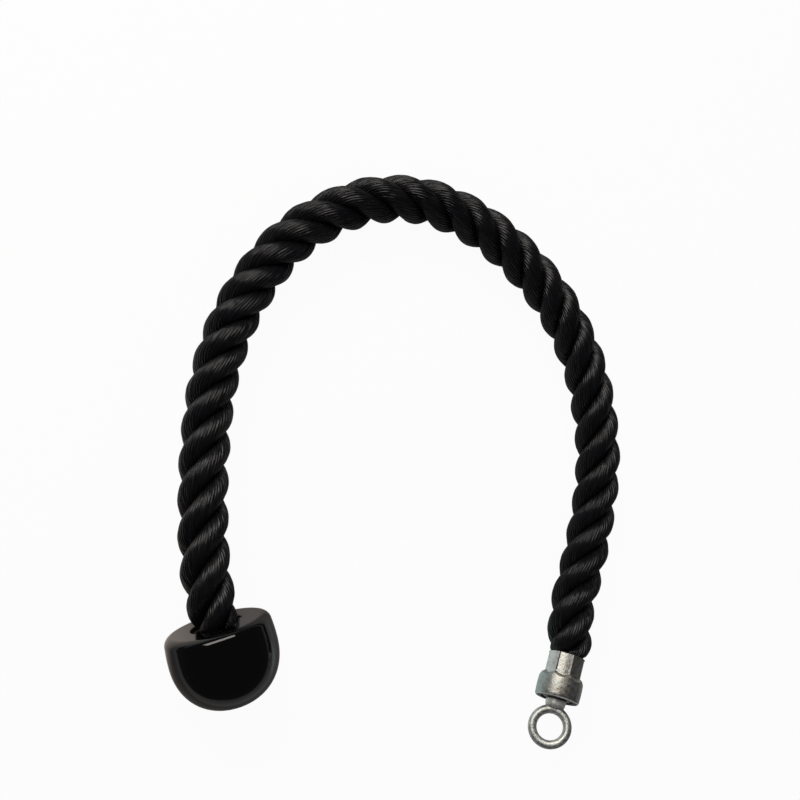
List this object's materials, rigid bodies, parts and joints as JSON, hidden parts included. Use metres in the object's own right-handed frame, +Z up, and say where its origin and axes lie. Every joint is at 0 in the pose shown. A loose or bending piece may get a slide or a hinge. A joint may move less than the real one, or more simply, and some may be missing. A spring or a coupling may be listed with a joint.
{
  "type": "pull-down rope",
  "caption": "Thick laid pull-down rope lying in an arch, with a moulded stop cap at one end and a crimped steel ferrule with a swivelling eye at the other.",
  "frame": {"origin": "on the floor, under the middle of the box round the two end fittings, the cap and the ferrule with its eye", "axes": "+X from the cap towards the ferrule with its eye, +Y towards the top of the rope's arch, +Z up from the floor that the rope lies on"},
  "size_m": [0.2827, 0.3362, 0.06],
  "materials": {
    "rope": "laid synthetic yarn, matt with a faint sheen along the fibres",
    "cap": "glossy moulded",
    "collar": "satin moulded",
    "zinc_steel": "zinc plated, unpolished"
  },
  "bodies": {
    "rope_body": {"rope_strand_1": "rope", "rope_strand_2": "rope", "rope_strand_3": "rope", "end_cap": "cap", "cap_collar": "collar", "anchor_ring": "zinc_steel", "ferrule": "zinc_steel", "swivel_disc": "zinc_steel"},
    "eye_body": {"eye": "zinc_steel", "thrust_washer": "zinc_steel", "lock_nut": "zinc_steel"}
  },
  "joints": [
    {"name": "eye_swivel", "type": "hinge", "parent": "rope_body", "child": "eye_body", "pos_m": [0.10533, -0.01967, 0.03199], "axis": [-0.383, -0.898, 0.2164], "continuous": true}
  ]
}
